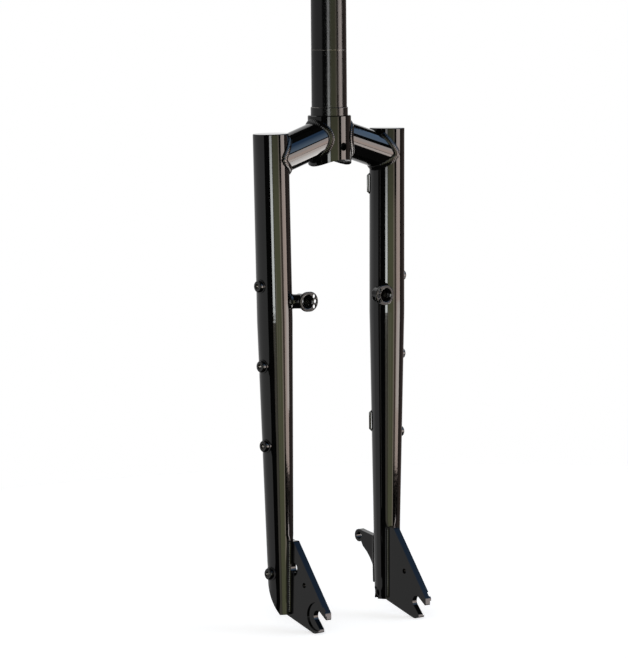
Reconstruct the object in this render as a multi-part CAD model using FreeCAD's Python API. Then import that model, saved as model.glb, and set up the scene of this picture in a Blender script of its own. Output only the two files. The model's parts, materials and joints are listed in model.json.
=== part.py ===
import FreeCAD, Part
import math
import os

# Rigid bicycle fork, welded from steel tube and plate.
# X points forward, Y to the rider's left, Z up along the steerer.
# The origin is on the steerer axis, at the shoulder that the crown race rests on.
# All sizes are in millimetres, angles in degrees.

# Steerer and crown sleeve
steerer_od = 28.6
steerer_id = 25.4
steerer_length = 260.0
steerer_edge_break = 0.5
steerer_root_od = 29.4
race_seat_od = 30.0
race_seat_height = 6.5
race_seat_edge = 0.35
sleeve_wall = 2.8
sleeve_length = 40.6
sleeve_edge_break = 0.6
arch_radius = 30.0
crown_hole_od = 6.6
crown_hole_drop = 24.8

# Crown struts, from the sleeve down to the legs
strut_od = 28.6
strut_wall = 1.8
strut_slope = 17.1
strut_below_leg_top = 1.74

# Legs, straight at the top and tapered below
leg_od = 28.6
leg_end_od = 19.6
leg_wall = 1.4
leg_top_drop = 12.5
leg_top_spacing = 122.2
leg_end_spacing = 111.8
leg_end_forward = 2.0
leg_end_overhang = 2.4
taper_start_drop = 162.0
end_round_radius = 46.0
end_round_height = 28.0
end_round_bearing = 40.0
cap_thickness = 2.0
cap_spigot = 4.0
cap_edge = 0.7

# Wheel and dropouts
axle_drop = 395.0
rake = 45.4
hub_spacing = 100.0
plate_thickness = 6.0
slot_width = 9.6
slot_top_angle = 37.0
slot_low_angle = 49.0
plate_top_above_axle = 57.4
plate_crest_reach = 5.0
plate_inset = 6.5
nose_reach = 11.4
nose_rise = 3.6
jaw_reach = 2.7
jaw_tip = 2.3
keel_behind_axle = 2.6
keel_drop = 14.2
heel_drop = 2.9
plate_corner = 1.6
keel_corner = 7.0
seat_recess_od = 23.0
seat_recess_depth = 1.3
eyelet_od = 4.3
eyelet_behind_axle = 14.7
eyelet_above_axle = 23.3
vent_hole_od = 8.6
vent_hole_behind_axle = 27.6
vent_hole_above_axle = 36.0

# Disc brake tab, on the left leg
tab_inner_face = 50.6
tab_thickness = 5.0
tab_hole_od = 6.2
tab_hole_spacing = 51.0
tab_hole_angle = 60.4
tab_low_behind_axle = 46.6
tab_low_above_axle = 2.2
tab_lobe_radius = 5.2
tab_waist_radius = 36.0
tab_crest_fall = 5.6

# Bosses on the outer side of each leg
boss_od = 9.2
boss_collar = 0.9
boss_height = 3.2
boss_spigot_od = 7.4
boss_spigot_inside = 3.0
boss_hole_od = 4.3
boss_edge = 1.1
cage_boss_drop = 133.3
cage_boss_pitch = 64.0
rack_boss_above_axle = 30.6

# Brake bosses, inboard of the legs
brake_boss_spacing = 82.6
brake_boss_drop = 146.4
brake_boss_face = 20.8
brake_boss_od = 12.2
brake_boss_length = 11.5
brake_hole_od = 8.6
brake_sink_od = 11.6
brake_sink_depth = 1.5
brake_arm_od = 11.6
brake_foot_flare = 2.6
brake_foot_sink = 1.2
brake_flange_od = 16.0
brake_flange_offset = 2.7
brake_flange_thickness = 1.8
brake_flange_edge = 0.4
spring_hole_od = 3.0
spring_hole_radius = 8.0
spring_hole_step = 31.0

# Hose guides, on the left leg
guide_length = 18.6
guide_height = 2.7
guide_strap = 1.6
guide_width = 5.5
guide_foot = 2.2
guide_slope = 2.6
guide_bend = 0.8
guide_sink = 1.0
guide_bearing = 41.0
upper_guide_drop = 57.6
lower_guide_drop = 251.4

# Weld beads
bead_on_strut = 2.4
bead_on_tube = 1.8
bead_face = 1.5
plate_bead = 1.8

V = FreeCAD.Vector
reach = steerer_length + axle_drop
sleeve_od = steerer_root_od + 2 * sleeve_wall
end_z = -axle_drop - leg_end_overhang
leg_r = leg_od / 2
leg_end_r = leg_end_od / 2
leg_top = V(0, leg_top_spacing / 2, -leg_top_drop)
leg_end = V(leg_end_forward, leg_end_spacing / 2, end_z)
leg_run = leg_end - leg_top
leg_direction = V(leg_run).normalize()
axle = V(rake, 0, -axle_drop)
inner_face = hub_spacing / 2
outer_face = inner_face + plate_thickness
tab_outer_face = tab_inner_face + tab_thickness


def rod(radius, start, end):
    run = end - start
    return Part.makeCylinder(radius, run.Length, start, run)


def pin_through(radius, spot, inner_y, outer_y):
    return rod(radius, V(spot.x, inner_y, spot.z), V(spot.x, outer_y, spot.z))


def right_of(shape):
    return shape.mirror(V(0, 0, 0), V(0, 1, 0))


def leg_point(z):
    return leg_top + leg_run * ((z - leg_top.z) / leg_run.z)


def leg_radius(z):
    taper_z = -taper_start_drop
    share = max(0.0, (z - taper_z) / (end_z - taper_z))
    return leg_r + (leg_end_r - leg_r) * share


def circle_edges(shape, radius, centre):
    found = []
    for edge in shape.Edges:
        if edge.Curve.TypeId == "Part::GeomCircle":
            if abs(edge.Curve.Radius - radius) < 1e-6 and (edge.Curve.Center - centre).Length < 1e-6:
                found.append(edge)
    return found


def rounded_outline(corners):
    # Closed wire in the XZ plane, each corner (x, z, radius) rounded by a tangent arc.
    arcs = []
    for index, (x, z, radius) in enumerate(corners):
        here = V(x, 0, z)
        before = corners[index - 1]
        after = corners[(index + 1) % len(corners)]
        back = (V(before[0], 0, before[1]) - here).normalize()
        ahead = (V(after[0], 0, after[1]) - here).normalize()
        half = back.getAngle(ahead) / 2
        setback = radius / math.tan(half)
        middle = (back + ahead).normalize()
        centre = here + middle * (radius / math.sin(half))
        arcs.append((here + back * setback, centre - middle * radius, here + ahead * setback, radius))
    edges = []
    for index, (start, middle, end, radius) in enumerate(arcs):
        if radius > 0:
            edges.append(Part.Arc(start, middle, end).toShape())
        edges.append(Part.LineSegment(end, arcs[(index + 1) % len(arcs)][0]).toShape())
    return Part.Wire(edges)


def plate_between(wire, inner_y, outer_y):
    face = Part.Face(wire)
    face.translate(V(0, inner_y, 0))
    return face.extrude(V(0, outer_y - inner_y, 0))


def leg_body(grow):
    # Solid leg of the outer form, grown all over its side, or shrunk by a wall at the end as well.
    taper_top = leg_point(-taper_start_drop)
    taper_run = (leg_end - taper_top).Length + min(grow, 0)
    taper = Part.makeCone(leg_r + grow, leg_end_r + grow, taper_run, taper_top, leg_direction)
    body = rod(leg_r + grow, leg_top, taper_top).fuse(taper)
    # The lower end is rounded off at its outer and rear side, down to a flat that is left.
    bearing = math.radians(end_round_bearing)
    outward = V(-math.sin(bearing), math.cos(bearing), 0)
    across = V(math.cos(bearing), math.sin(bearing), 0) * leg_top_spacing
    level = end_z + end_round_height
    centre = leg_point(level) + outward * (leg_radius(level) - end_round_radius)
    rounding = rod(end_round_radius + grow, centre - across, centre + across)
    above = Part.makeBox(reach, reach, reach, V(-reach / 2, 0, level))
    return body.common(above.fuse(rounding))


def steerer_cutters():
    arch_peak = -sleeve_length + arch_radius - math.sqrt(arch_radius ** 2 - (sleeve_od / 2) ** 2)
    arch_z = arch_peak - arch_radius
    arch = rod(arch_radius, V(-sleeve_od, 0, arch_z), V(sleeve_od, 0, arch_z))
    hole = rod(crown_hole_od / 2, V(-sleeve_od, 0, -crown_hole_drop), V(sleeve_od, 0, -crown_hole_drop))
    return arch.fuse(hole)


def steerer_tube():
    # One turned tube: the root in the sleeve, the race seat above it, then the plain steerer.
    bottom = V(0, 0, -sleeve_length)
    shoulder = V(0, 0, 0)
    seat_top = V(0, 0, race_seat_height)
    top = V(0, 0, steerer_length)
    upper = rod(steerer_od / 2, shoulder, top)
    upper = upper.makeChamfer(steerer_edge_break, circle_edges(upper, steerer_od / 2, top))
    seat = rod(race_seat_od / 2, shoulder, seat_top)
    seat = seat.makeChamfer(race_seat_edge, circle_edges(seat, race_seat_od / 2, seat_top))
    root = rod(steerer_root_od / 2, bottom, shoulder)
    body = upper.fuse(seat).fuse(root)
    return body.cut(rod(steerer_id / 2, bottom, top)).cut(steerer_cutters())


def crown_sleeve():
    bottom = V(0, 0, -sleeve_length)
    shoulder = V(0, 0, 0)
    body = rod(sleeve_od / 2, bottom, shoulder)
    body = body.makeChamfer(sleeve_edge_break, circle_edges(body, sleeve_od / 2, shoulder))
    return body.cut(rod(steerer_root_od / 2, bottom, shoulder)).cut(steerer_cutters())


def strut_axis():
    # The strut's upper line meets the inner side of the leg a little below the leg's top.
    slope = math.radians(strut_slope)
    meeting = V(0, leg_top.y - leg_r, leg_top.z - strut_below_leg_top - strut_od / 2 / math.cos(slope))
    along = V(0, 1, -math.tan(slope))
    return meeting - along * meeting.y, meeting + along * leg_r


def sleeve_line():
    # The sleeve's outside, run on past both of its ends.
    return sleeve_od / 2, V(0, 0, -sleeve_length - strut_od), V(0, 0, strut_od)


def leg_line():
    # The left leg's straight upper tube, run on past its top.
    return leg_r, leg_top - leg_direction * leg_od, leg_point(-taper_start_drop)


def crown_strut():
    start, end = strut_axis()
    tube = rod(strut_od / 2, start, end).cut(rod(strut_od / 2 - strut_wall, start, end))
    return tube.cut(rod(*sleeve_line())).cut(rod(*leg_line()))


def tube_weld(tube_r, tube_start, tube_end):
    # Bead in the corner between the strut and the tube that it is coped to.
    start, end = strut_axis()
    strut_reach = strut_od / 2 + bead_on_tube
    tube_reach = tube_r + bead_on_strut
    bead = rod(strut_reach, start, end).common(rod(tube_reach, tube_start, tube_end))
    bead = bead.cut(rod(strut_od / 2, start, end)).cut(rod(tube_r, tube_start, tube_end))
    crest = []
    for edge in bead.Edges:
        middle = edge.valueAt((edge.FirstParameter + edge.LastParameter) / 2)
        off_strut = abs(middle.distanceToLine(start, end - start) - strut_reach)
        off_tube = abs(middle.distanceToLine(tube_start, tube_end - tube_start) - tube_reach)
        if max(off_strut, off_tube) < bead_face / 10:
            crest.append(edge)
    return bead.makeChamfer(bead_face, crest)


def leg_cap():
    seat = leg_top + leg_direction * cap_thickness
    flange = rod(leg_r, leg_top, seat)
    flange = flange.makeFillet(cap_edge, circle_edges(flange, leg_r, leg_top))
    spigot = rod(leg_r - leg_wall, seat, seat + leg_direction * cap_spigot)
    return flange.fuse(spigot)


def dropout_outline():
    slot_r = slot_width / 2
    top_angle = math.radians(slot_top_angle)
    low_angle = math.radians(slot_low_angle)
    slot_angle = (top_angle + low_angle) / 2
    flare = (low_angle - top_angle) / 2
    apex_back = slot_r / math.sin(flare)
    apex = axle + V(-math.cos(slot_angle), 0, math.sin(slot_angle)) * apex_back
    nose_x = axle.x + nose_reach
    nose_low_z = apex.z - (nose_x - apex.x) * math.tan(top_angle)
    jaw_x = axle.x + jaw_reach
    jaw_z = apex.z - (jaw_x - apex.x) * math.tan(low_angle)
    top_z = axle.z + plate_top_above_axle
    leg_front = leg_point(top_z).x + leg_radius(top_z)
    rear_x = leg_end.x + leg_end_r - plate_inset
    return rounded_outline([
        (rear_x, top_z, 0),
        (leg_front + plate_crest_reach, top_z, plate_corner),
        (nose_x, axle.z + nose_rise, plate_corner),
        (nose_x, nose_low_z, plate_corner / 2),
        (apex.x, apex.z, slot_r),
        (jaw_x, jaw_z, plate_corner / 2),
        (jaw_x, jaw_z - jaw_tip, plate_corner / 2),
        (axle.x - keel_behind_axle, axle.z - keel_drop, keel_corner),
        (leg_end.x + leg_end_r - plate_inset / 2, axle.z - heel_drop, plate_corner),
        (rear_x, axle.z - heel_drop + plate_inset, 0),
    ])


def dropout(with_vent_hole):
    plate = plate_between(dropout_outline(), inner_face, outer_face)
    plate = plate.cut(pin_through(seat_recess_od / 2, axle, outer_face - seat_recess_depth, outer_face))
    eyelet = axle + V(-eyelet_behind_axle, 0, eyelet_above_axle)
    plate = plate.cut(pin_through(eyelet_od / 2, eyelet, inner_face, outer_face))
    if with_vent_hole:
        vent = axle + V(-vent_hole_behind_axle, 0, vent_hole_above_axle)
        plate = plate.cut(pin_through(vent_hole_od / 2, vent, inner_face, outer_face))
    return plate


def tab_holes():
    low = V(axle.x - tab_low_behind_axle, 0, axle.z + tab_low_above_axle)
    angle = math.radians(tab_hole_angle)
    high = low + V(-math.cos(angle), 0, math.sin(angle)) * tab_hole_spacing
    return low, high


def tab_blank(inner_y, outer_y):
    # Two lobes and the web that carries them, hollowed from behind by an arc tangent to both lobes.
    low, high = tab_holes()
    root_x = leg_point(low.z).x
    crest_z = high.z + tab_lobe_radius
    web = rounded_outline([
        (high.x, crest_z, 0),
        (root_x, crest_z - tab_crest_fall, 0),
        (root_x, low.z, 0),
        (low.x, low.z, 0),
        (high.x, high.z, 0),
    ])
    blank = plate_between(web, inner_y, outer_y)
    for spot in (low, high):
        blank = blank.fuse(pin_through(tab_lobe_radius, spot, inner_y, outer_y))
    across = high - low
    outward = V(-across.z, 0, across.x).normalize()
    away = math.sqrt((tab_waist_radius + tab_lobe_radius) ** 2 - (across.Length / 2) ** 2)
    hollow = (low + high) * 0.5 + outward * away
    return blank.removeSplitter().cut(pin_through(tab_waist_radius, hollow, inner_y, outer_y))


def disc_tab():
    tab = tab_blank(tab_inner_face, tab_outer_face)
    for spot in tab_holes():
        tab = tab.cut(pin_through(tab_hole_od / 2, spot, tab_inner_face, tab_outer_face))
    return tab


def plate_weld(blank, plate):
    # Beads along both faces of a plate where it leaves the leg.
    return leg_body(plate_bead).common(blank).cut(leg_body(0)).cut(plate)


def tab_weld(tab):
    # The faces round the bolt holes stay clear of the bead.
    inner_y = tab_inner_face - plate_bead
    outer_y = tab_outer_face + plate_bead
    bead = plate_weld(tab_blank(inner_y, outer_y), tab)
    for spot in tab_holes():
        bead = bead.cut(pin_through(tab_lobe_radius, spot, inner_y, outer_y))
    return bead


def side_boss(z):
    # Threaded boss on the outer side of the leg, with a spigot through the tube wall.
    centre = leg_point(z)
    surface_y = centre.y + leg_radius(z)
    face = V(centre.x, surface_y + boss_height, z)
    head = rod(boss_od / 2, centre, face)
    head = head.makeFillet(boss_edge, circle_edges(head, boss_od / 2, face))
    collar = rod(boss_od / 2 + boss_collar, centre, face).common(leg_body(boss_collar))
    boss = head.fuse(collar).cut(leg_body(0)).fuse(boss_spigot(z))
    return boss.cut(rod(boss_hole_od / 2, centre, face))


def boss_spigot(z):
    centre = leg_point(z)
    surface_y = centre.y + leg_radius(z)
    inside = V(centre.x, surface_y - leg_wall - boss_spigot_inside, z)
    return rod(boss_spigot_od / 2, inside, V(centre.x, surface_y + boss_height / 2, z))


def brake_boss():
    centre_y = brake_boss_spacing / 2
    z = -brake_boss_drop
    face = V(brake_boss_face, centre_y, z)
    back = V(brake_boss_face - brake_boss_length, centre_y, z)
    barrel = rod(brake_boss_od / 2, back, face)
    # Arm from the barrel out to the leg, with a hollow-sided foot.
    joint = V((face.x + back.x - brake_flange_thickness) / 2, centre_y, z)
    leg_axis = V(leg_point(z).x, leg_point(z).y, z)
    arm = rod(brake_arm_od / 2, joint, leg_axis)
    inboard = (joint - leg_axis).normalize()
    foot_r = brake_arm_od / 2 + brake_foot_flare
    foot_start = leg_axis + inboard * (leg_radius(z) - brake_foot_sink + brake_foot_flare)
    hollow = Part.makeTorus(foot_r, brake_foot_flare, foot_start, inboard)
    foot = rod(foot_r, foot_start, leg_axis).cut(hollow)
    boss = barrel.fuse(arm).fuse(foot).fuse(brake_flange(face)).cut(leg_body(0))
    hole = rod(brake_hole_od / 2, back, face)
    sink_start = face - V(brake_sink_depth, 0, 0)
    sink = Part.makeCone(brake_hole_od / 2, brake_sink_od / 2, brake_sink_depth, sink_start, V(1, 0, 0))
    return boss.cut(hole).cut(sink)


def brake_flange(face):
    # Face plate, drawn out towards the wheel, with a row of small holes for the spring end.
    thickness = V(brake_flange_thickness, 0, 0)
    back = face - thickness
    inboard = back - V(0, brake_flange_offset, 0)
    side = V(0, brake_flange_od / 2, 0)
    rise = V(0, 0, brake_flange_od / 2)
    outline = Part.Wire([
        Part.Arc(back + rise, back + side, back - rise).toShape(),
        Part.LineSegment(back - rise, inboard - rise).toShape(),
        Part.Arc(inboard - rise, inboard - side, inboard + rise).toShape(),
        Part.LineSegment(inboard + rise, back + rise).toShape(),
    ])
    plate = Part.Face(outline).extrude(thickness)
    front_edges = [edge for edge in plate.Edges if edge.BoundBox.XMin > face.x - brake_flange_edge]
    plate = plate.makeFillet(brake_flange_edge, front_edges)
    for step in (-1, 0, 1):
        turn = math.radians(step * spring_hole_step)
        spot = back + V(0, -math.cos(turn), math.sin(turn)) * spring_hole_radius
        plate = plate.cut(rod(spring_hole_od / 2, spot, spot + thickness))
    return plate


def hose_guide(z):
    # Flat strap bridged over the leg, open from side to side for the tie that holds the hose.
    half = guide_length / 2
    gap = guide_height - guide_strap
    inner_half = half - guide_foot - guide_slope * (gap + guide_sink) / (guide_height + guide_sink)
    outline = rounded_outline([
        (-guide_sink, -half, 0),
        (-guide_sink, -half + guide_foot, 0),
        (gap, -inner_half, guide_bend / 2),
        (gap, inner_half, guide_bend / 2),
        (-guide_sink, half - guide_foot, 0),
        (-guide_sink, half, 0),
        (guide_height, half - guide_slope, guide_bend),
        (guide_height, -half + guide_slope, guide_bend),
    ])
    strap = plate_between(outline, -guide_width / 2, guide_width / 2)
    # The outline's X turns to point out from the leg, inboard and to the rear.
    bearing = math.radians(guide_bearing)
    outward = V(-math.sin(bearing), -math.cos(bearing), 0)
    strap.rotate(V(0, 0, 0), V(0, 0, 1), -90 - guide_bearing)
    strap.translate(leg_point(z) + outward * leg_radius(z))
    return strap.cut(leg_body(0))


def tab_seats(radius):
    # Room beside both faces of the tab for the caliper's bolts.
    inner_y = tab_inner_face - leg_r
    outer_y = tab_outer_face + leg_r
    return [pin_through(radius, spot, inner_y, outer_y) for spot in tab_holes()]


def leg(plates, boss_heights, carries_tab):
    outside = leg_body(0)
    hollow = leg_body(-leg_wall)
    if carries_tab:
        outside = outside.cut(tab_seats(tab_lobe_radius))
        hollow = hollow.cut(tab_seats(tab_lobe_radius + leg_wall))
    tube = outside.cut(hollow)
    cap_cut = leg_top + leg_direction * cap_thickness
    tube = tube.cut(rod(leg_od, leg_top, cap_cut))
    for plate in plates:
        tube = tube.cut(plate)
    for z in boss_heights:
        tube = tube.cut(boss_spigot(z))
    return tube


def between_levels(shape, low_z, high_z):
    return shape.common(Part.makeBox(reach, reach, high_z - low_z, V(-reach / 2, 0, low_z)))


cage_heights = {name: -cage_boss_drop - step * cage_boss_pitch
                for step, name in enumerate(("upper", "middle", "lower"))}
rack_height = axle.z + rack_boss_above_axle
boss_heights = list(cage_heights.values()) + [rack_height]
plain_dropout = dropout(False)
vented_dropout = dropout(True)
dropout_blank = plate_between(dropout_outline(), inner_face - plate_bead, outer_face + plate_bead)
brake_tab = disc_tab()

nodes = {
    "steerer_tube": steerer_tube(),
    "crown_sleeve": crown_sleeve(),
    "left_crown_strut": crown_strut(),
    "left_sleeve_weld": between_levels(tube_weld(*sleeve_line()), -sleeve_length, 0),
    "left_leg_weld": between_levels(tube_weld(*leg_line()), end_z, leg_top.z),
    "left_leg": leg([plain_dropout, brake_tab], boss_heights, True),
    "right_leg": right_of(leg([vented_dropout], boss_heights, False)),
    "left_leg_cap": leg_cap(),
    "left_dropout": plain_dropout,
    "right_dropout": right_of(vented_dropout),
    "left_dropout_weld": plate_weld(dropout_blank, plain_dropout),
    "disc_tab": brake_tab,
    "disc_tab_weld": tab_weld(brake_tab),
    "left_rack_boss": side_boss(rack_height),
    "left_brake_boss": brake_boss(),
    "upper_hose_guide": hose_guide(-upper_guide_drop),
    "lower_hose_guide": hose_guide(-lower_guide_drop),
}
for name, z in cage_heights.items():
    nodes["left_" + name + "_cage_boss"] = side_boss(z)
for name in [name for name in nodes if name.startswith("left_")]:
    other = name.replace("left_", "right_", 1)
    if other not in nodes:
        nodes[other] = right_of(nodes[name])

os.makedirs("parts", exist_ok=True)
for name, shape in nodes.items():
    shape.exportStep("parts/" + name + ".step")
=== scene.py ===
import json
import math

import bpy
from mathutils import Matrix, Vector


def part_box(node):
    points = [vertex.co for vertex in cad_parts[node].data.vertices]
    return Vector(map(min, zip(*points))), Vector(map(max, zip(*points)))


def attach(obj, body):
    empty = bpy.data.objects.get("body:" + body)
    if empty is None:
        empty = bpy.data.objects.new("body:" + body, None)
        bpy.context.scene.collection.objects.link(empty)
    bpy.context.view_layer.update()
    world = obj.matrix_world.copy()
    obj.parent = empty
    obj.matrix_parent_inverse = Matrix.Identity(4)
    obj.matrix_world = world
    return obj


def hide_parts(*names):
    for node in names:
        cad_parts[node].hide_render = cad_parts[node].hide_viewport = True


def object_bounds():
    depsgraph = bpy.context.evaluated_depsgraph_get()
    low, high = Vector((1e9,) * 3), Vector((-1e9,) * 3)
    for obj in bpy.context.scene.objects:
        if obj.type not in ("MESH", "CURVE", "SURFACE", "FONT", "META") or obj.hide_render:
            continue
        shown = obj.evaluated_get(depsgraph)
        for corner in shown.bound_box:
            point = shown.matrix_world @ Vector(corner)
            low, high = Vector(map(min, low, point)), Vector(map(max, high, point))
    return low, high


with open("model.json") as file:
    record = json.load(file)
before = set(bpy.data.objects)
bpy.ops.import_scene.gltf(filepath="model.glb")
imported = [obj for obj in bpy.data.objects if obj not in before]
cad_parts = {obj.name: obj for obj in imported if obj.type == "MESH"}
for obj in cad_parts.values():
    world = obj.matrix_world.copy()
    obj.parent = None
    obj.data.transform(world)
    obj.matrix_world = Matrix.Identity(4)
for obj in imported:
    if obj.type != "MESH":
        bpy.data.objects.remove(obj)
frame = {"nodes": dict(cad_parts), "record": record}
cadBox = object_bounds()
print("frame loaded:", len(frame["nodes"]), "nodes")

mm = 0.001
weldGap = 0.002 * mm  # points nearer than this are one point
smoothAngle = math.radians(35)  # edges sharper than this stay crisp
bpy.context.scene.view_settings.view_transform = "Standard"


def linear(hexColour):  # sRGB hex to the linear colour that shaders take
    parts = [int(hexColour[i:i + 2], 16) / 255 for i in (1, 3, 5)]
    return [c / 12.92 if c <= 0.04045 else ((c + 0.055) / 1.055) ** 2.4 for c in parts] + [1]


def addNode(tree, kind, inputs=None, **settings):  # one node with its settings, socket values and links
    node = tree.nodes.new(kind)
    for name, value in settings.items():
        setattr(node, name, value)
    for name, value in (inputs or {}).items():
        if isinstance(value, bpy.types.NodeSocket):
            tree.links.new(value, node.inputs[name])
        else:
            node.inputs[name].default_value = value
    return node


def newMaterial(name):
    material = bpy.data.materials.new(name)
    material.use_nodes = True
    material.node_tree.nodes.clear()
    return material, material.node_tree


def finishMaterial(tree, shader):
    addNode(tree, "ShaderNodeOutputMaterial", {"Surface": shader})


def deselectAll():
    if bpy.context.object and bpy.context.object.mode != "OBJECT":
        bpy.ops.object.mode_set(mode="OBJECT")
    bpy.ops.object.select_all(action="DESELECT")


def editAll():  # open the active mesh to edits, with all of it selected
    bpy.ops.object.mode_set(mode="EDIT")
    bpy.ops.mesh.select_all(action="SELECT")


def named(name):  # the object that an operator has just added
    piece = bpy.context.object
    piece.name = name
    piece.data.name = name
    return piece


def useModifier(piece, kind, **settings):  # add a modifier and apply it at once
    modifier = piece.modifiers.new(kind.title(), kind)
    for name, value in settings.items():
        setattr(modifier, name, value)
    bpy.context.view_layer.objects.active = piece
    bpy.ops.object.modifier_apply(modifier=modifier.name)


def melt(piece, values):  # rebuild a mesh from voxels, then smooth it
    useModifier(piece, "REMESH", mode="VOXEL", voxel_size=values["voxel"] * mm, use_smooth_shade=True)
    useModifier(piece, "SMOOTH", factor=values["softness"], iterations=values["smoothing"])


def copyNode(name, nodeName):  # a new piece with its own copy of a node's mesh, open to edits
    deselectAll()
    piece = bpy.data.objects.new(name, frame["nodes"][nodeName].data.copy())
    bpy.context.scene.collection.objects.link(piece)
    piece.select_set(True)
    bpy.context.view_layer.objects.active = piece
    editAll()
    return piece


def setPiece(piece, material, *replaced):  # finish and body of a new piece; the CAD parts it replaces are hidden
    piece.data.materials.clear()
    piece.data.materials.append(material)
    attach(piece, "root")
    if replaced:
        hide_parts(*replaced)


# Camera, at the photograph's viewing angle
cameraView = {
    "heading": 39.956,  # degrees to the right of straight ahead of the fork
    "elevation": 5.742,
    "roll": -0.472,
    "distance": 3.3268,
    "aside": -0.0137,  # aim, sideways from the steerer axis
    "below": -0.17236,  # aim, below the crown race
    "focalPixels": 4127.4,
    "imageWidth": 628,
    "sensor": 36.0,
}


def cameraAxes():
    turn, tilt, roll = (math.radians(cameraView[k]) for k in ("heading", "elevation", "roll"))
    flat = Vector((math.cos(turn), -math.sin(turn), 0))
    level = Vector((math.sin(turn), math.cos(turn), 0))
    back = flat * math.cos(tilt) + Vector((0, 0, math.sin(tilt)))
    upright = back.cross(level)
    right = level * math.cos(roll) + upright * math.sin(roll)
    return level, right, back.cross(right), back


def addCamera():
    level, right, up, back = cameraAxes()
    aim = level * cameraView["aside"] + Vector((0, 0, cameraView["below"]))
    place = Matrix((right, up, back)).transposed().to_4x4()
    place.translation = aim + back * cameraView["distance"]
    data = bpy.data.cameras.new("photoCamera")
    data.sensor_fit = "HORIZONTAL"
    data.sensor_width = cameraView["sensor"]
    data.lens = cameraView["sensor"] * cameraView["focalPixels"] / cameraView["imageWidth"]
    camera = bpy.data.objects.new("photoCamera", data)
    bpy.context.scene.collection.objects.link(camera)
    camera.matrix_world = place
    bpy.context.scene.camera = camera


addCamera()
print("camera set")

# Studio: white surround, pale floor, soft lamps, and cards that only the gloss of the paint sees.
# Angles are in degrees round the fork, 0 towards the camera and 90 to its right.
studio = {
    "fill": 0.55,  # light of the surround on dull surfaces
    "floorRadius": 0.72,
    "floorShift": (150, 0.25),  # angle and distance of the floor's middle from the steerer axis
    "floorColour": "#c8c8c8",
    "floorGlow": 0.62,
    "wallRadius": 2.4,
    "pit": -1.1, "ceiling": 3.3,  # heights of the black discs under and over the cards
    "discSet": 1.05, "discGlow": 0.02,
    "cardSteps": 24, "discSides": 48, "floorSides": 96,
    "shade": (-0.24, -0.10),  # heights between which a card goes from its lower to its upper glow
}
lamps = {  # soft lamps for dull surfaces and the floor's shadow; glow: radiance
    "stripLamp": {"from": -13, "to": 5, "low": -0.41, "high": 0.95, "colour": "#f4f6f4", "glow": 9.0},
    "warmLamp": {"from": 67, "to": 98, "low": -0.56, "high": 0.36, "colour": "#f6e6dc", "glow": 6.0},
    "skyLamp": {"from": 58, "to": 128, "low": 0.42, "high": 2.5, "colour": "#b8d0ea", "glow": 1.6},
}
wallCards = {  # colour and glow: lower and upper; set: share of the wall's radius; shade: as in studio
    "blackFlag": {"from": -44, "to": 160, "low": -1.1, "high": 3.3, "set": 1.05,
                  "colour": ("#ffffff", "#ffffff"), "glow": (0.012, 0.012)},
    "charcoalCard": {"from": -160, "to": -44, "low": -1.1, "high": 1.6, "set": 1.02,
                     "colour": ("#ffffff", "#ffffff"), "glow": (0.57, 0.35)},
    "stripCard": {"from": -10, "to": 4, "low": -0.41, "high": 0.95, "set": 1.0,
                  "colour": ("#f6faf8", "#ffffff"), "glow": (11.0, 2.6)},
    "stripFoot": {"from": -11, "to": 5, "low": -1.1, "high": -0.41, "set": 1.0,
                  "colour": ("#fff8e4", "#fff8e4"), "glow": (0.85, 0.85)},
    "oliveCard": {"from": 7, "to": 44, "low": -1.1, "high": 0.9, "set": 1.02,
                  "colour": ("#fbffc8", "#fdffd2"), "glow": (1.32, 0.66)},
    "nearStreak": {"from": 11.5, "to": 15.5, "low": -0.64, "high": -0.34, "set": 1.0, "shade": (-0.6, -0.4),
                   "colour": ("#fff4dc", "#fff4dc"), "glow": (1.5, 2.3)},
    "midStreak": {"from": 25, "to": 28, "low": -0.72, "high": -0.4, "set": 1.0, "shade": (-0.66, -0.46),
                  "colour": ("#fffbd8", "#fffbd8"), "glow": (1.5, 2.1)},
    "paleEdge": {"from": 44, "to": 51, "low": -1.1, "high": 0.9, "set": 1.0,
                 "colour": ("#fff1da", "#fff1da"), "glow": (3.0, 1.3)},
    "brownCard": {"from": 50, "to": 66, "low": -0.66, "high": -0.2, "set": 1.02,
                  "colour": ("#ffe4d0", "#ffe4d0"), "glow": (0.85, 0.85)},
    "warmCard": {"from": 65, "to": 94, "low": -0.66, "high": 0.32, "set": 1.0,
                 "colour": ("#ffe8dc", "#fff2ec"), "glow": (5.7, 5.2)},
    "dimCard": {"from": 98, "to": 160, "low": -1.1, "high": 0.42, "set": 1.02,
                "colour": ("#ffe2d8", "#ffe2d8"), "glow": (0.2, 0.17)},
    "paleCard": {"from": 73, "to": 96, "low": -0.32, "high": -0.2, "set": 0.25,
                 "colour": ("#fff2ea", "#fff2ea"), "glow": (6.6, 6.6)},
    "footCard": {"from": 75.5, "to": 84.5, "low": -0.87, "high": -0.74, "set": 1.0,
                 "colour": ("#fff4f2", "#fff4f2"), "glow": (6.0, 6.0)},
    "skyNear": {"from": 60, "to": 86, "low": 0.54, "high": 1.55, "set": 1.0, "shade": (0.8, 2.1),
                "colour": ("#bddcff", "#85bcff"), "glow": (2.45, 1.1)},
    "skySide": {"from": 86, "to": 133, "low": 0.86, "high": 1.55, "set": 1.0, "shade": (0.8, 2.1),
                "colour": ("#bddcff", "#85bcff"), "glow": (2.45, 1.1)},
    "skyTop": {"from": 60, "to": 84, "low": 1.55, "high": 3.2, "set": 1.0, "shade": (0.8, 2.1),
               "colour": ("#bddcff", "#85bcff"), "glow": (2.45, 1.1)},
    "skyBack": {"from": 84, "to": 104.5, "low": 1.55, "high": 3.2, "set": 1.0, "shade": (0.8, 2.1),
                "colour": ("#a8ccff", "#85bcff"), "glow": (1.1, 0.55)},
}
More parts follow.
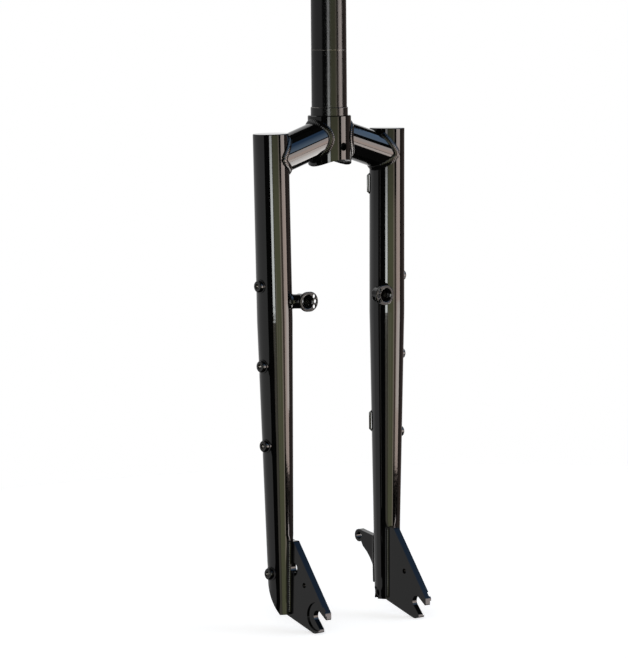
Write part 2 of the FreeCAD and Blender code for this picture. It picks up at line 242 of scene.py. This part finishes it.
floorCards = {  # near, far: metres from the steerer axis
    "paleFloorCard": {"from": 94, "to": 134, "near": 1.25, "far": 2.4, "level": -1.0,
                      "colour": ("#fffaf6", "#fffaf6"), "glow": (7.0, 7.0)},
    "sweepCard": {"from": 168, "to": 184, "near": 0.6, "far": 2.4, "level": -0.72,
                  "colour": ("#ffffff", "#ffffff"), "glow": (0.9, 0.9)},
}


def towards(angle):  # unit vector on the floor at an angle from the camera's side
    turn = math.radians(angle - cameraView["heading"])
    return Vector((math.cos(turn), math.sin(turn), 0))


def glowMaterial(name, card):  # light that goes from a lower to an upper colour
    material, tree = newMaterial(name)
    place = addNode(tree, "ShaderNodeTexCoord").outputs["Object"]
    height = addNode(tree, "ShaderNodeSeparateXYZ", {0: place}).outputs["Z"]
    low, high = card.get("shade", studio["shade"])
    share = addNode(tree, "ShaderNodeMapRange", {"Value": height, "From Min": low, "From Max": high})
    lower, upper = ([c * g for c in linear(colour)] for colour, g in zip(card["colour"], card["glow"]))
    tone = addNode(tree, "ShaderNodeMix", {"Factor": share.outputs[0], "A": lower, "B": upper},
                   data_type="RGBA")
    glow = addNode(tree, "ShaderNodeEmission", {"Color": tone.outputs["Result"]})
    finishMaterial(tree, glow.outputs[0])
    return material


def setCard(piece, card):  # only glossy rays meet a card
    piece.data.materials.append(glowMaterial(piece.name, card))
    for ray in ("camera", "diffuse", "transmission", "volume_scatter", "shadow"):
        setattr(piece, "visible_" + ray, False)


def spinCard(name, start, end, card):  # sweep an upright or a radial edge round the fork
    deselectAll()
    bpy.ops.mesh.primitive_plane_add(size=1)
    piece = named(name)
    for vertex, place in zip(piece.data.vertices, (start, end, start, end)):
        vertex.co = place
    editAll()
    bpy.ops.mesh.remove_doubles(threshold=mm)
    bpy.ops.mesh.select_all(action="SELECT")
    turn = math.radians(card["to"] - card["from"])
    bpy.ops.mesh.spin(steps=studio["cardSteps"], angle=turn, center=(0, 0, 0), axis=(0, 0, -1))
    bpy.ops.object.mode_set(mode="OBJECT")
    setCard(piece, card)


def addCards():
    for name, card in wallCards.items():
        foot = towards(card["from"]) * studio["wallRadius"] * card["set"]
        spinCard(name, foot + Vector((0, 0, card["low"])), foot + Vector((0, 0, card["high"])), card)
    for name, card in floorCards.items():
        way = towards(card["from"])
        lift = Vector((0, 0, card["level"]))
        spinCard(name, way * card["near"] + lift, way * card["far"] + lift, card)
    for name, level in (("blackPit", studio["pit"]), ("blackCeiling", studio["ceiling"])):
        deselectAll()
        bpy.ops.mesh.primitive_circle_add(
            vertices=studio["discSides"], radius=studio["wallRadius"] * studio["discSet"],
            fill_type="NGON", location=(0, 0, level))
        setCard(named(name), {"colour": ("#ffffff", "#ffffff"), "glow": [studio["discGlow"]] * 2})


def addLamps():
    for name, lamp in lamps.items():
        middle = towards((lamp["from"] + lamp["to"]) / 2)
        half = math.radians(lamp["to"] - lamp["from"]) / 2
        height = (lamp["low"] + lamp["high"]) / 2
        data = bpy.data.lights.new(name, "AREA")
        data.shape = "RECTANGLE"
        data.size = 2 * studio["wallRadius"] * math.tan(half)
        data.size_y = lamp["high"] - lamp["low"]
        data.color = linear(lamp["colour"])[:3]
        data.energy = lamp["glow"] * math.pi * data.size * data.size_y
        light = bpy.data.objects.new(name, data)
        bpy.context.scene.collection.objects.link(light)
        side = Vector((0, 0, 1)).cross(middle)
        place = Matrix((side, Vector((0, 0, 1)), middle)).transposed().to_4x4()
        place.translation = middle * studio["wallRadius"] + Vector((0, 0, height))
        light.matrix_world = place
        light.visible_glossy = False  # the cards are what the gloss shows


def whiteRays(tree):  # 1 for the rays that show the white surround
    path = addNode(tree, "ShaderNodeLightPath")
    seen = addNode(tree, "ShaderNodeMath", operation="MAXIMUM",
                   inputs={0: path.outputs["Is Camera Ray"], 1: path.outputs["Is Glossy Ray"]})
    return addNode(tree, "ShaderNodeMath", operation="MAXIMUM",
                   inputs={0: seen.outputs[0], 1: path.outputs["Is Transmission Ray"]}).outputs[0]


def addSurround():
    world = bpy.data.worlds.new("whiteStudio")
    bpy.context.scene.world = world
    world.use_nodes = True
    tree = world.node_tree
    tree.nodes.clear()
    strength = addNode(tree, "ShaderNodeMapRange", {
        "Value": whiteRays(tree), "To Min": studio["fill"], "To Max": 1.0})
    light = addNode(tree, "ShaderNodeBackground", {"Color": (1, 1, 1, 1), "Strength": strength.outputs[0]})
    addNode(tree, "ShaderNodeOutputWorld", {"Surface": light.outputs[0]})


def addFloor():
    angle, shift = studio["floorShift"]
    middle = towards(angle) * shift
    deselectAll()
    bpy.ops.mesh.primitive_circle_add(vertices=studio["floorSides"], radius=studio["floorRadius"],
                                      fill_type="NGON", location=(middle.x, middle.y, cadBox[0].z))
    floor = named("paleFloor")
    material, tree = newMaterial("whitePaper")
    dull = addNode(tree, "ShaderNodeBsdfDiffuse", {"Color": linear(studio["floorColour"])})
    amount = addNode(tree, "ShaderNodeMath", operation="MULTIPLY",
                     inputs={0: whiteRays(tree), 1: studio["floorGlow"]})
    glow = addNode(tree, "ShaderNodeEmission", {"Color": (1, 1, 1, 1), "Strength": amount.outputs[0]})
    paper = addNode(tree, "ShaderNodeAddShader", {0: dull.outputs[0], 1: glow.outputs[0]})
    finishMaterial(tree, paper.outputs[0])
    floor.data.materials.append(material)
    floor.visible_glossy = False  # the paint shows the cards round the fork instead


addSurround()
addFloor()
addLamps()
addCards()
print("studio lit:", len(lamps), "lamps,", len(wallCards) + len(floorCards) + 2, "cards")

# Gloss black enamel, sprayed and baked on steel: deep black with sharp, slightly rippled reflections
enamel = {
    "deep": "#020202", "thin": "#050505",  # film colour where it is thick and thin
    "ior": 1.52,
    "gloss": (0.04, 0.075),  # roughness, best and dullest patches
    "patchWidth": 38.0, "patchDetail": 3.0, "patchRange": (0.3, 0.7),  # widths and depths in millimetres
    "peelWidth": 4.2, "peelDetail": 1.5, "peelDepth": 0.011,
    "nibSpacing": 11.0, "nibShare": 0.06, "nibDepth": 0.006,  # specks of dust; share of the spacing
}


def enamelMaterial(name, values):
    material, tree = newMaterial(name)
    place = addNode(tree, "ShaderNodeTexCoord").outputs["Object"]
    patch = addNode(tree, "ShaderNodeTexNoise", {
        "Vector": place, "Scale": 1 / (values["patchWidth"] * mm), "Detail": values["patchDetail"]})
    tone = addNode(tree, "ShaderNodeMix", {
        "Factor": patch.outputs["Fac"], "A": linear(values["deep"]), "B": linear(values["thin"])},
        data_type="RGBA")
    dull = addNode(tree, "ShaderNodeMapRange", {
        "Value": patch.outputs["Fac"], "From Min": values["patchRange"][0], "From Max": values["patchRange"][1],
        "To Min": values["gloss"][0], "To Max": values["gloss"][1]})
    if "satin" in values:  # a face turned towards the front is duller, where the brake's post rubs it
        facing = addNode(tree, "ShaderNodeTexCoord").outputs["Normal"]
        ahead = addNode(tree, "ShaderNodeSeparateXYZ", {0: facing}).outputs["X"]
        dull = addNode(tree, "ShaderNodeMapRange", {
            "Value": ahead, "From Min": values["rubbed"][0], "From Max": values["rubbed"][1],
            "To Min": dull.outputs[0], "To Max": values["satin"]})
    peel = addNode(tree, "ShaderNodeTexNoise", {
        "Vector": place, "Scale": 1 / (values["peelWidth"] * mm), "Detail": values["peelDetail"]})
    peelBump = addNode(tree, "ShaderNodeBump", {
        "Height": peel.outputs["Fac"], "Distance": values["peelDepth"] * mm})
    speck = addNode(tree, "ShaderNodeTexVoronoi", {"Vector": place, "Scale": 1 / (values["nibSpacing"] * mm)})
    nib = addNode(tree, "ShaderNodeMapRange", {
        "Value": speck.outputs["Distance"], "From Min": 0.0, "From Max": values["nibShare"],
        "To Min": 1.0, "To Max": 0.0}, interpolation_type="SMOOTHSTEP")
    nibBump = addNode(tree, "ShaderNodeBump", {
        "Height": nib.outputs[0], "Distance": values["nibDepth"] * mm, "Normal": peelBump.outputs[0]})
    shader = addNode(tree, "ShaderNodeBsdfPrincipled", {
        "Base Color": tone.outputs["Result"], "Roughness": dull.outputs[0], "IOR": values["ior"],
        "Normal": nibBump.outputs[0]})
    finishMaterial(tree, shader.outputs[0])
    return material


tubeEnamel = enamelMaterial("bakedBlackEnamel", enamel)
plateEnamel = enamelMaterial("bakedBlackEnamelOnPlate", {
    **enamel, "ior": 1.42, "gloss": (0.05, 0.09), "peelWidth": 5.0})
weldEnamel = enamelMaterial("bakedBlackEnamelOnWeld", {**enamel, "peelWidth": 1.6, "peelDepth": 0.006})
bossEnamel = enamelMaterial("bakedBlackEnamelRubbed", {
    **enamel, "satin": 0.5, "rubbed": (0.9, 0.98)})  # rubbed: forward part of the normal
steererCoat = enamelMaterial("dippedBlackPrimer", {
    **enamel, "thin": "#080808", "gloss": (0.15, 0.2), "peelDepth": 0.004})  # duller than the enamel

# Bare steel, tapped or scribed after painting, and on the race seat's edge a painted highlight: grey metal with
# fine marks left by the tool
cutSteel = {  # widths and depths in millimetres
    "colour": "#9c9893", "shadow": "#6d6964", "roughness": (0.24, 0.42),
    "stainWidth": 2.5, "stainDetail": 3.0, "stainRange": (0.3, 0.7),
    "markWidth": 0.35, "markDetail": 1.0, "markDepth": 0.008,
}


def cutSteelMaterial(name, values):
    material, tree = newMaterial(name)
    place = addNode(tree, "ShaderNodeTexCoord").outputs["Object"]
    stain = addNode(tree, "ShaderNodeTexNoise", {
        "Vector": place, "Scale": 1 / (values["stainWidth"] * mm), "Detail": values["stainDetail"]})
    tone = addNode(tree, "ShaderNodeMix", {
        "Factor": stain.outputs["Fac"], "A": linear(values["colour"]), "B": linear(values["shadow"])},
        data_type="RGBA")
    dull = addNode(tree, "ShaderNodeMapRange", {
        "Value": stain.outputs["Fac"], "From Min": values["stainRange"][0], "From Max": values["stainRange"][1],
        "To Min": values["roughness"][0], "To Max": values["roughness"][1]})
    marks = addNode(tree, "ShaderNodeTexNoise", {
        "Vector": place, "Scale": 1 / (values["markWidth"] * mm), "Detail": values["markDetail"]})
    bump = addNode(tree, "ShaderNodeBump", {
        "Height": marks.outputs["Fac"], "Distance": values["markDepth"] * mm})
    shader = addNode(tree, "ShaderNodeBsdfPrincipled", {
        "Base Color": tone.outputs["Result"], "Metallic": 1.0, "Roughness": dull.outputs[0],
        "Normal": bump.outputs[0]})
    finishMaterial(tree, shader.outputs[0])
    return material


bareSteel = cutSteelMaterial("bareCutSteelAndSeatHighlight", cutSteel)
darkSteel = cutSteelMaterial("shadedThreadSteel", {  # painted shade: threads in the eyelets and brake bosses are darkened so those holes read dark
    **cutSteel, "colour": "#34322f", "shadow": "#171615", "roughness": (0.4, 0.6)})

for nodeName, node in frame["nodes"].items():
    finish = tubeEnamel
    if nodeName == "steerer_tube":
        finish = steererCoat
    elif nodeName.endswith("_weld"):
        finish = weldEnamel
    elif nodeName.endswith("dropout") or nodeName == "disc_tab":
        finish = plateEnamel
    for slot in node.material_slots:
        slot.material = finish
print("finishes set")

# Weld beads: one ripple is modelled, laid along each seam and melted into a bead
weldBead = {  # millimetres; ripple: half sizes along the seam, across it and outwards
    "tube": {"pitch": 1.4, "ripple": (1.25, 2.9, 0.85), "rise": 0.95},
    "plate": {"pitch": 1.5, "ripple": (1.65, 1.8, 1.1), "rise": 0.6},
    "rippleSides": 10, "rippleRings": 6,
    "lean": 18,  # degrees that a ripple leans on the one before it
    "seamSteps": 720, "seamLap": 4,  # points round a strut's seam, and how many the bead overlaps
    "seamStep": 0.1,  # down a plate's seam
    "seamBreak": 1.0,  # a step longer than this is a break in the seam and gets no ripple
    "plateEnds": (1.5, 1.2),  # bare seam at the lower and upper end of a plate's weld
    "castFrom": 60, "faceClear": 0.1,  # where the rays that find a plate's seam start
    "leastTilt": 0.6,  # keeps the rise short in a narrow corner
    "topClear": 4.6,  # bare height under the leg's flat top
    "voxel": 0.28, "softness": 0.5, "smoothing": 5,
    "strutRadius": 14.3, "strutStart": -14.8, "strutSlope": 17.1,  # the struts' axis, downwards to each side
    "sleeveRadius": 17.5, "legRadius": 14.3, "legTop": (0, 61.1, -12.5), "legFoot": (2.0, 55.9, -397.4),
    "dropoutFaces": (50.0, 56.0), "tabFaces": (50.6, 55.6),
}


def makeRipple(values):
    deselectAll()
    bpy.ops.mesh.primitive_uv_sphere_add(segments=weldBead["rippleSides"], ring_count=weldBead["rippleRings"],
                                         radius=1)
    piece = named("weldRipple")
    editAll()
    bpy.ops.transform.resize(value=[size * mm for size in values["ripple"]], center_override=(0, 0, 0))
    bpy.ops.transform.rotate(value=math.radians(weldBead["lean"]), orient_axis="Y", center_override=(0, 0, 0))
    bpy.ops.object.mode_set(mode="OBJECT")
    return piece


def strutSeam(side, middle, axis, radius, outer):  # corners where a crown strut meets a tube
    slope = math.radians(weldBead["strutSlope"])
    run = Vector((0, side * math.cos(slope), -math.sin(slope)))
    upright = Vector((0, side * math.sin(slope), math.cos(slope)))
    seam = []
    for step in range(weldBead["seamSteps"]):
        turn = math.radians(step * 360 / weldBead["seamSteps"])
        strutOut = Vector((1, 0, 0)) * math.cos(turn) + upright * math.sin(turn)
        start = Vector((0, 0, weldBead["strutStart"])) + strutOut * weldBead["strutRadius"]
        flatRun = run - axis * run.dot(axis)
        flatStart = (start - middle) - axis * (start - middle).dot(axis)
        a, b, c = flatRun.dot(flatRun), 2 * flatRun.dot(flatStart), flatStart.dot(flatStart) - radius ** 2
        root = math.sqrt(max(b * b - 4 * a * c, 0))
        far = (-b + root * outer) / (2 * a)
        seam.append((start + run * far, strutOut, (flatStart + flatRun * far).normalized()))
    return seam


def plateSeam(legName, side, face, faceSide, front, low, high):  # corners where a plate leaves a leg
    leg = frame["nodes"][legName]
    plateOut = Vector((0, faceSide * side, 0))
    seam = []
    for step in range(int((high - low) / weldBead["seamStep"])):
        height = high - step * weldBead["seamStep"]
        across = side * face + plateOut.y * weldBead["faceClear"]
        start = Vector((front * weldBead["castFrom"], across, height)) * mm
        found, place, tubeOut, _ = leg.ray_cast(start, Vector((-front, 0, 0)))
        if found:
            seam.append((place / mm, plateOut, tubeOut))
    return seam


def rippleSpots(values, seam, top):  # even steps along a seam, up to a height
    spots, gone = [], values["pitch"]
    for here, after in zip(seam, seam[1:]):
        step = after[0] - here[0]
        gone += step.length
        if gone < values["pitch"] or step.length > weldBead["seamBreak"] or here[0].z > top:
            continue
        gone = 0
        out = (here[1] + here[2]).normalized()
        across = out.cross(step).normalized()
        lift = out * values["rise"] / max(out.dot(here[1]), weldBead["leastTilt"])
        spots.append((here[0] + lift, across.cross(out), across, out))
    return spots


def layBead(name, spots, ripple, nodeName):
    copies = []
    for spot, along, across, out in spots:
        copy = bpy.data.objects.new(name, ripple.data.copy())
        bpy.context.scene.collection.objects.link(copy)
        place = Matrix((along, across, out)).transposed().to_4x4()
        place.translation = spot * mm
        copy.data.transform(place)
        copies.append(copy)
    deselectAll()
    for copy in copies:
        copy.select_set(True)
    bpy.context.view_layer.objects.active = copies[0]
    bpy.ops.object.join()
    bead = named(name)
    melt(bead, weldBead)
    setPiece(bead, weldEnamel, nodeName)
    return len(spots)


def addWelds():
    tube, plate = weldBead["tube"], weldBead["plate"]
    tubeRipple, plateRipple = makeRipple(tube), makeRipple(plate)
    bpy.context.view_layer.update()
    lap, (lowEnd, highEnd) = weldBead["seamLap"], weldBead["plateEnds"]
    count = 0
    for side, word in ((1, "left"), (-1, "right")):
        top = Vector(weldBead["legTop"])
        foot = Vector(weldBead["legFoot"])
        top.y, foot.y = side * top.y, side * foot.y
        legAxis = (foot - top).normalized()
        seam = strutSeam(side, Vector((0, 0, 0)), Vector((0, 0, 1)), weldBead["sleeveRadius"], 1)
        spots = rippleSpots(tube, seam + seam[:lap], 0)
        count += layBead(word + "SleeveBead", spots, tubeRipple, word + "_sleeve_weld")
        seam = strutSeam(side, top, legAxis, weldBead["legRadius"], -1)
        spots = rippleSpots(tube, seam + seam[:lap], top.z - weldBead["topClear"])
        count += layBead(word + "LegBead", spots, tubeRipple, word + "_leg_weld")
        spots = []
        low, high = (corner.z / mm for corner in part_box(word + "_dropout_weld"))
        for face, faceSide in zip(weldBead["dropoutFaces"], (-1, 1)):
            seam = plateSeam(word + "_leg", side, face, faceSide, 1, low + lowEnd, high - highEnd)
            spots += rippleSpots(plate, seam, 0)
        count += layBead(word + "DropoutBead", spots, plateRipple, word + "_dropout_weld")
    spots = []
    low, high = (corner.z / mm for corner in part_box("disc_tab_weld"))
    for face, faceSide in zip(weldBead["tabFaces"], (-1, 1)):
        seam = plateSeam("left_leg", 1, face, faceSide, -1, low + lowEnd, high - highEnd)
        spots += rippleSpots(plate, seam, 0)
    count += layBead("discTabBead", spots, plateRipple, "disc_tab_weld")
    bpy.data.objects.remove(tubeRipple)
    bpy.data.objects.remove(plateRipple)
    print("welds laid:", count, "ripples")


addWelds()

# Threads of the bosses, eyelets and brake bosses, as ridges of steel inside the plain holes
threads = {  # millimetres; shift: the thread's middle from the mount, along its axis
    "boss": {"pitch": 0.8, "depth": 0.24, "shift": -0.6, "start": 0.5},
    "eyelet": {"pitch": 0.8, "depth": 0.24, "shift": 0.0, "start": 0.4},
    "brake": {"pitch": 1.5, "depth": 0.42, "shift": -0.5, "start": 0.9},
}
ridge = {"sink": 0.05, "half": 0.48, "land": 0.07, "steps": 18}  # half, land: shares of the pitch


def makeThread(name, radius, length, values):  # ridge of one pitch, wound up the hole
    deselectAll()
    bpy.ops.mesh.primitive_circle_add(vertices=4, radius=values["pitch"] * mm, fill_type="NOTHING")
    piece = named(name)
    root, crest = radius + ridge["sink"], radius - values["depth"]
    half, land = ridge["half"] * values["pitch"], ridge["land"] * values["pitch"]
    corners = ((root, 0, -half), (crest, 0, -land), (crest, 0, land), (root, 0, half))
    for vertex, corner in zip(piece.data.vertices, corners):
        vertex.co = Vector(corner) * mm
    turns = int((length - 2 * values["start"]) / values["pitch"]) - 1
    useModifier(piece, "SCREW", axis="Z", angle=math.tau, screw_offset=values["pitch"] * mm, iterations=turns,
                steps=ridge["steps"], render_steps=ridge["steps"],
                use_merge_vertices=True, merge_threshold=weldGap)
    editAll()
    bpy.ops.mesh.fill_holes(sides=4)
    bpy.ops.mesh.select_all(action="SELECT")
    bpy.ops.mesh.normals_make_consistent(inside=False)
    bpy.ops.transform.translate(value=(0, 0, -turns * values["pitch"] * mm / 2))
    bpy.ops.object.mode_set(mode="OBJECT")
    bpy.ops.object.shade_smooth_by_angle(angle=smoothAngle)
    return piece


def addThreads():
    made, count = {}, 0
    for mount in frame["record"]["mounts"]:
        if mount["kind"] != "threaded_hole":
            continue
        kind = [word for word in ("brake", "eyelet", "boss") if word in mount["name"]][0]
        values = threads[kind]
        if kind not in made:
            dims = mount["dims"]
            made[kind] = makeThread(kind + "Thread", dims["r_mm"], dims["length_mm"], values)
        axis = Vector(mount["axis"]).normalized()
        place = axis.to_track_quat("Z", "Y").to_matrix().to_4x4()
        place.translation = Vector(mount["pos_m"]) + axis * values["shift"] * mm
        piece = bpy.data.objects.new(mount["name"] + "_thread", made[kind].data.copy())
        bpy.context.scene.collection.objects.link(piece)
        piece.data.transform(place)
        # eyelet and brake threads take the darkened steel, painted shade inside those holes
        setPiece(piece, bareSteel if kind == "boss" else darkSteel)
        count += 1
    for piece in made.values():
        bpy.data.objects.remove(piece)
    print("threads cut:", count)


addThreads()

# Steerer: a scribed line for cutting it to length, and a ring of bare steel on the race seat's top edge, a
# painted highlight for the light line along that edge
steererMarks = {  # millimetres
    "sides": 96, "lineSides": 8,
    "scribeHeight": 52.4, "scribeRadius": 14.3, "scribeWidth": 0.36, "scribeRise": 0.05,
    "seatTop": 6.5, "seatRadius": 15.0, "seatEdge": 0.35, "seatLift": 0.03,
    "edgeSkin": 0.06, "edgeBevel": 0.012,
}


def addScribe():
    values = steererMarks
    deselectAll()
    bpy.ops.mesh.primitive_torus_add(
        major_radius=values["scribeRadius"] * mm, minor_radius=values["scribeRise"] * mm,
        major_segments=values["sides"], minor_segments=values["lineSides"], location=(0, 0, 0))
    piece = named("scribedLine")
    stretch = values["scribeWidth"] / values["scribeRise"] / 2
    editAll()
    bpy.ops.transform.resize(value=(1, 1, stretch), center_override=(0, 0, 0))
    bpy.ops.transform.translate(value=(0, 0, values["scribeHeight"] * mm))
    bpy.ops.object.mode_set(mode="OBJECT")
    bpy.ops.object.shade_smooth()
    setPiece(piece, bareSteel)


def addSeatEdge():
    values = steererMarks
    deselectAll()
    outer = values["seatRadius"] + values["seatLift"]
    bpy.ops.mesh.primitive_cone_add(
        vertices=values["sides"], radius1=outer * mm, radius2=(outer - values["seatEdge"]) * mm,
        depth=values["seatEdge"] * mm, end_fill_type="NOTHING", location=(0, 0, 0))
    piece = named("seatEdge")
    height = values["seatTop"] - values["seatEdge"] / 2 + values["seatLift"]
    editAll()
    bpy.ops.transform.translate(value=(0, 0, height * mm))
    bpy.ops.object.mode_set(mode="OBJECT")
    useModifier(piece, "SOLIDIFY", thickness=values["edgeSkin"] * mm, offset=-1)
    useModifier(piece, "BEVEL", width=values["edgeBevel"] * mm, segments=2, limit_method="ANGLE")
    bpy.ops.object.shade_smooth_by_angle(angle=smoothAngle)
    # the bare steel ring is a painted highlight along the seat's top edge
    setPiece(piece, bareSteel)


addScribe()
addSeatEdge()
print("steerer marked")

# Hose guides: the straps thinned and with their edges rounded, as bent flat bar is
hoseGuide = {  # millimetres and degrees
    "round": 0.45, "steps": 4,
    "flat": 3, "sharp": 50,  # bends under the first are made flat, edges over the second are rounded
    "clear": 0.35,  # edges this near the leg stay sharp
    "middle": 2.0,  # height that parts the strap's inner side from its outer side
    "lower": (0.95, 0.7),  # how much nearer to the leg the inner and outer sides are hammered
    "open": 1.2,  # how much longer the opening is filed at each end
}


def roundGuide(name, nodeName):
    piece = copyNode(name, nodeName)
    bpy.ops.mesh.customdata_custom_splitnormals_clear()
    bpy.ops.mesh.remove_doubles(threshold=weldGap)
    bpy.ops.mesh.dissolve_limited(angle_limit=math.radians(hoseGuide["flat"]))
    bpy.ops.mesh.select_all(action="DESELECT")
    bpy.ops.mesh.select_mode(type="EDGE")
    bpy.ops.mesh.edges_select_sharp(sharpness=math.radians(hoseGuide["sharp"]))
    bpy.ops.object.mode_set(mode="OBJECT")
    leg = frame["nodes"]["left_leg"]
    clear = hoseGuide["clear"] * mm
    gaps = [vertex.co - leg.closest_point_on_mesh(vertex.co)[1] for vertex in piece.data.vertices]
    middle = sum(corner.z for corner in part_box(nodeName)) / 2
    for edge in piece.data.edges:
        if min(gaps[corner].length for corner in edge.vertices) < clear:
            edge.select = False
    for vertex, gap in zip(piece.data.vertices, gaps):
        if gap.length > clear:
            outer = gap.length > hoseGuide["middle"] * mm
            vertex.co -= gap.normalized() * hoseGuide["lower"][outer] * mm
            if not outer:
                vertex.co.z += math.copysign(hoseGuide["open"] * mm, vertex.co.z - middle)
    bpy.ops.object.mode_set(mode="EDIT")
    bpy.ops.mesh.bevel(offset=hoseGuide["round"] * mm, segments=hoseGuide["steps"], affect="EDGES")
    bpy.ops.object.mode_set(mode="OBJECT")
    bpy.ops.object.shade_smooth_by_angle(angle=smoothAngle)
    setPiece(piece, tubeEnamel, nodeName)


roundGuide("upperHoseGuide", "upper_hose_guide")
roundGuide("lowerHoseGuide", "lower_hose_guide")
print("hose guides rounded")

# Brake bosses: forged, so every edge of the barrel, flange and foot is soft
brakeBoss = {"voxel": 0.24, "softness": 0.5, "smoothing": 10}  # voxel in millimetres


def softenBoss(name, nodeName):
    piece = copyNode(name, nodeName)
    bpy.ops.mesh.remove_doubles(threshold=weldGap)
    bpy.ops.object.mode_set(mode="OBJECT")
    melt(piece, brakeBoss)
    setPiece(piece, bossEnamel, nodeName)


softenBoss("leftBrakeBoss", "left_brake_boss")
softenBoss("rightBrakeBoss", "right_brake_boss")
print("brake bosses softened")
